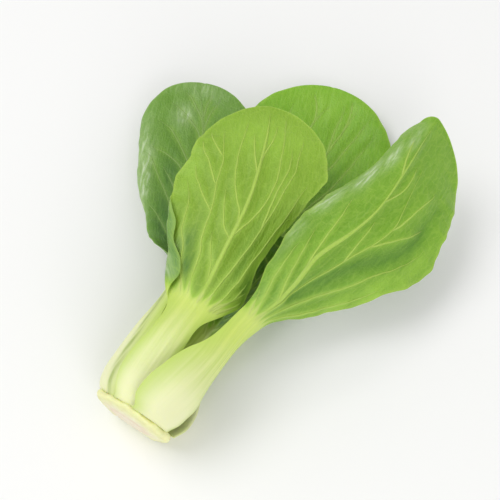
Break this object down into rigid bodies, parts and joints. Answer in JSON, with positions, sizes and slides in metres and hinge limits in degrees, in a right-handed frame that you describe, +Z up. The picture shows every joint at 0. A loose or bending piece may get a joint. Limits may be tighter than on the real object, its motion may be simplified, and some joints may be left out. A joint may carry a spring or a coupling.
{
  "type": "head of baby bok choy",
  "caption": "Head of Shanghai bok choy cut at its root end and lying on its side: thick pale stalks swell into a bulb and open into broad round blades.",
  "frame": {"origin": "on the surface the head lies on, under the middle of its bounding box", "axes": "+X along the head from its cut root end to its leaf tips, +Y across it towards the dark folded leaf, +Z up"},
  "size_m": [0.2125, 0.1682, 0.0645],
  "materials": {
    "cut_stem": "satin",
    "outer_leaf": "satin",
    "dark_leaf": "satin",
    "inner_leaf": "satin"
  },
  "bodies": {
    "root": {"stem": "cut_stem", "leaf_front": "outer_leaf", "leaf_right": "outer_leaf", "leaf_under": "outer_leaf", "leaf_left": "dark_leaf", "leaf_back": "dark_leaf", "leaf_inner_upper": "inner_leaf", "leaf_inner_lower": "inner_leaf", "leaf_heart_large": "inner_leaf", "leaf_heart_small": "inner_leaf"}
  },
  "joints": []
}
